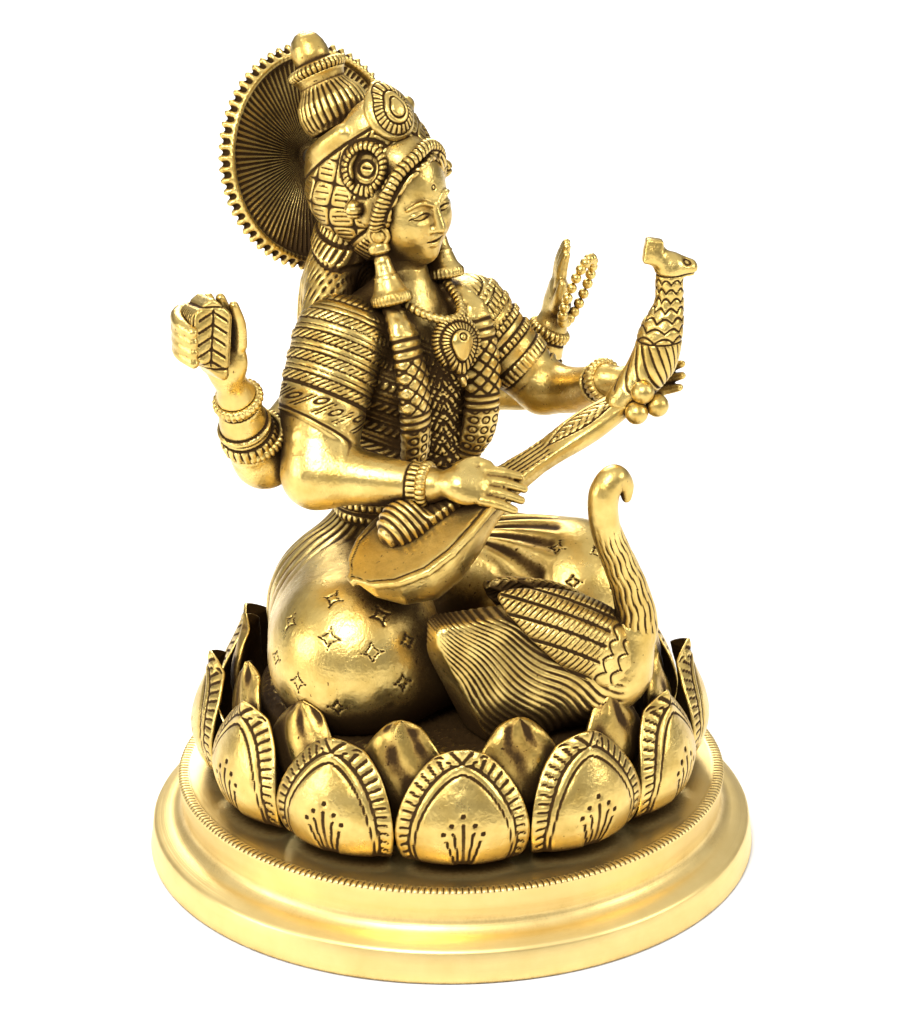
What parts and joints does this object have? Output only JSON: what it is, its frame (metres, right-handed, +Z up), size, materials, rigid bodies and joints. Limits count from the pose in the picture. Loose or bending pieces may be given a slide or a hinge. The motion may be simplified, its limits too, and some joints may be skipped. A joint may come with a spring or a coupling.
{
  "type": "seated goddess statue",
  "caption": "Cast-brass figure of a seated goddess playing a veena on a lotus, with a halo behind her crown, a swan at her knee and a round stepped plinth.",
  "frame": {"origin": "centre of the plinth's underside, on the table", "axes": "+Z up through the lotus; the figure faces -Y and her left hand side is +X"},
  "size_m": [0.13, 0.13, 0.1699],
  "materials": {
    "cast_brass": "polished cast brass with dark patina in its recesses",
    "turned_brass": "turned and brushed brass",
    "steel": "plain"
  },
  "bodies": {
    "root": {"plinth": "turned_brass", "tie_washer": "steel", "tie_bolt": "steel", "lotus_seat": "cast_brass", "outer_petals": "cast_brass", "inner_petals": "cast_brass", "legs_and_skirt": "cast_brass", "torso": "cast_brass", "hair_fall": "cast_brass", "head": "cast_brass", "crown": "cast_brass", "crown_plate": "cast_brass", "crown_finial": "cast_brass", "halo": "cast_brass", "halo_stud": "steel", "halo_nut": "steel", "earrings": "cast_brass", "garland": "cast_brass", "pendant": "cast_brass", "bangles": "cast_brass", "arm_front_right": "cast_brass", "arm_front_left": "cast_brass", "arm_rear_right": "cast_brass", "arm_rear_left": "cast_brass", "manuscript": "cast_brass", "rosary": "cast_brass", "veena_body": "cast_brass", "veena_bridge": "cast_brass", "veena_pegs": "cast_brass", "veena_head": "cast_brass", "swan_body": "cast_brass", "swan_wings": "cast_brass", "swan_neck": "cast_brass", "swan_rivet": "steel"}
  },
  "joints": []
}
